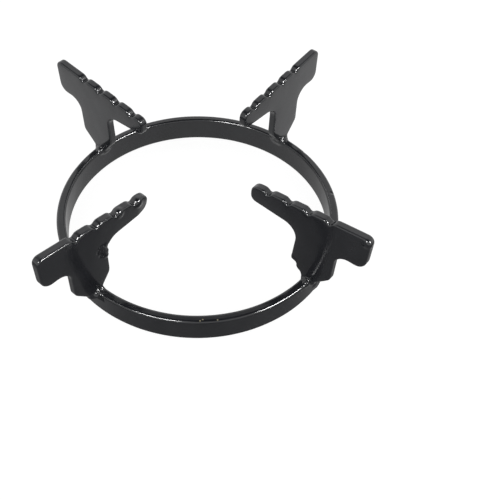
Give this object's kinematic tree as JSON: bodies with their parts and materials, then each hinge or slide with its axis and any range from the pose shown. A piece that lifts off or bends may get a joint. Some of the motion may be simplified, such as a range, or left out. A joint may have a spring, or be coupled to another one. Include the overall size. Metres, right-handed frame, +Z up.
{
  "type": "gas hob reducer ring",
  "caption": "Black enamelled flat-bar ring with upright toothed blades that carries a small coffee pot or pan over a gas burner.",
  "frame": {"origin": "centre of the ring on the plane that it stands on", "axes": "+Z up through the ring; the blades stand near the diagonals between X and Y"},
  "size_m": [0.12, 0.12, 0.0494],
  "materials": {
    "black_enamel": "glossy black vitreous enamel over welded steel, thick and rounded at the edges, with small pools, pinholes and lumps at the welds"
  },
  "bodies": {
    "root": {"reducer_ring": "black_enamel"}
  },
  "joints": []
}
